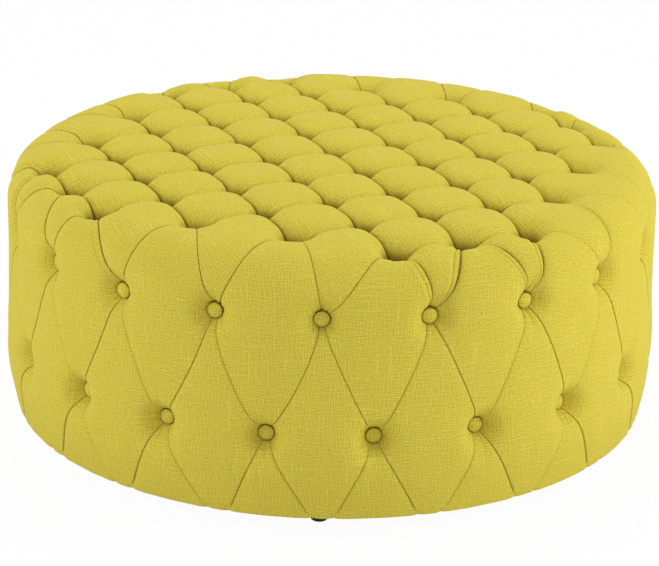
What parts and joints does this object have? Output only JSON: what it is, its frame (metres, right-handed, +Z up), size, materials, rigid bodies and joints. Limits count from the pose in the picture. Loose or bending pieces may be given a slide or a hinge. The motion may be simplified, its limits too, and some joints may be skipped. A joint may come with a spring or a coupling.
{
  "type": "ottoman coffee table",
  "caption": "Round, low upholstered ottoman that serves as a coffee table, with a diamond-tufted top and side and small plastic feet.",
  "frame": {"origin": "on the floor, under the middle of the drum", "axes": "+Z up; X and Y run along the lattice of the top buttons"},
  "size_m": [1.0004, 1.0004, 0.4215],
  "materials": {
    "cover_fabric": "slubby linen-look plain weave, chartreuse",
    "button_fabric": "the cover's cloth, stretched over the cap",
    "button_back": "pressed tin",
    "twine": "waxed twine",
    "toggle": "moulded",
    "wadding": "polyester fibre",
    "foam": "open-cell foam",
    "plywood": "raw plywood",
    "softwood": "planed softwood",
    "zinc_steel": "zinc plated",
    "dust_cloth": "black non-woven cloth",
    "foot_plastic": "black moulded plastic"
  },
  "bodies": {
    "root": {"cover_top": "cover_fabric", "cover_side": "cover_fabric", "top_buttons": "button_fabric", "upper_side_buttons": "button_fabric", "lower_side_buttons": "button_fabric", "top_button_backs": "button_back", "side_button_backs": "button_back", "top_button_twines": "twine", "upper_side_twines": "twine", "lower_side_twines": "twine", "top_toggles": "toggle", "side_toggles": "toggle", "wadding": "wadding", "foam_top": "foam", "foam_side": "foam", "deck_board": "plywood", "side_wall": "plywood", "base_ring": "plywood", "posts": "softwood", "long_rails": "softwood", "cross_rails": "softwood", "deck_screws": "zinc_steel", "rail_screws": "zinc_steel", "base_screws": "zinc_steel", "foot_screws": "zinc_steel", "staples": "zinc_steel", "dust_cover": "dust_cloth", "feet": "foot_plastic"}
  },
  "joints": []
}
